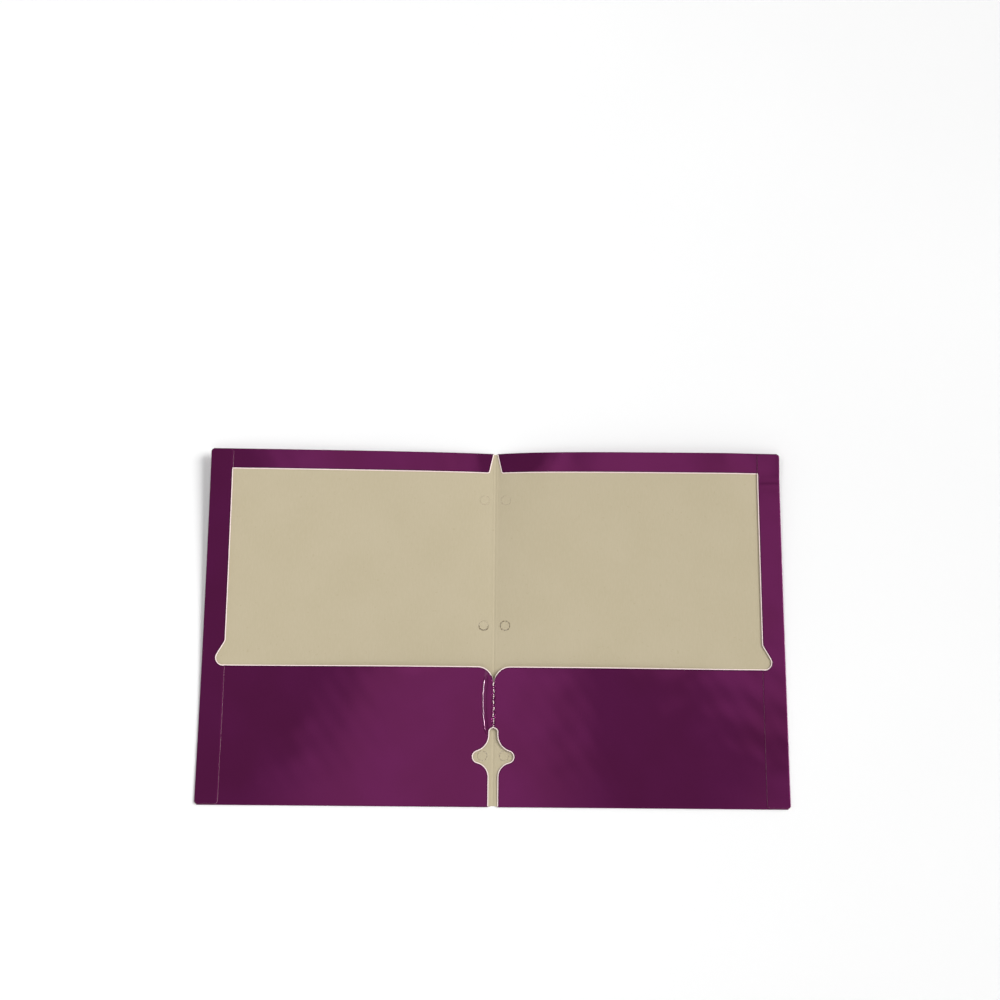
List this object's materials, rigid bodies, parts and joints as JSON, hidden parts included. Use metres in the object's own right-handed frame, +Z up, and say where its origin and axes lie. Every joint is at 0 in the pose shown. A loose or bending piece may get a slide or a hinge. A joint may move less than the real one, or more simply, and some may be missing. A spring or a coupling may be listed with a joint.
{
  "type": "two pocket folder",
  "caption": "Letter-size folder of glossy laminated card, lying open, with pockets folded up along the bottom of both covers, glued hems, and a spine crease that it closes about.",
  "frame": {"origin": "middle of the spine line on the table, the centre of the open folder's underside", "axes": "+X across the open folder towards the right cover, +Y up the page towards the top hem, +Z up from the table through the inside face"},
  "size_m": [0.4826, 0.2984, 0.0014],
  "materials": {
    "gloss_card": "gloss film over a purple print on the outside, bare cream board inside",
    "glue": "dried adhesive"
  },
  "bodies": {
    "left_half": {"left_cover": "gloss_card", "left_top_hem": "gloss_card", "left_top_fold": "gloss_card", "left_side_hem": "gloss_card", "left_side_fold": "gloss_card", "left_pocket": "gloss_card", "left_pocket_fold": "gloss_card", "left_hole_knockouts": "gloss_card", "left_top_glue": "glue", "left_pocket_glue": "glue", "left_corner_glue": "glue", "spine_crease": "gloss_card", "pocket_crease": "gloss_card"},
    "right_half": {"right_cover": "gloss_card", "right_top_hem": "gloss_card", "right_top_fold": "gloss_card", "right_side_hem": "gloss_card", "right_side_fold": "gloss_card", "right_pocket": "gloss_card", "right_pocket_fold": "gloss_card", "right_hole_knockouts": "gloss_card", "right_top_glue": "glue", "right_pocket_glue": "glue", "right_corner_glue": "glue"}
  },
  "joints": [
    {"name": "spine_fold", "type": "hinge", "parent": "left_half", "child": "right_half", "pos_m": [0, 0, 0.0016], "axis": [0, -1, 0], "range_deg": [0, 180]}
  ]
}
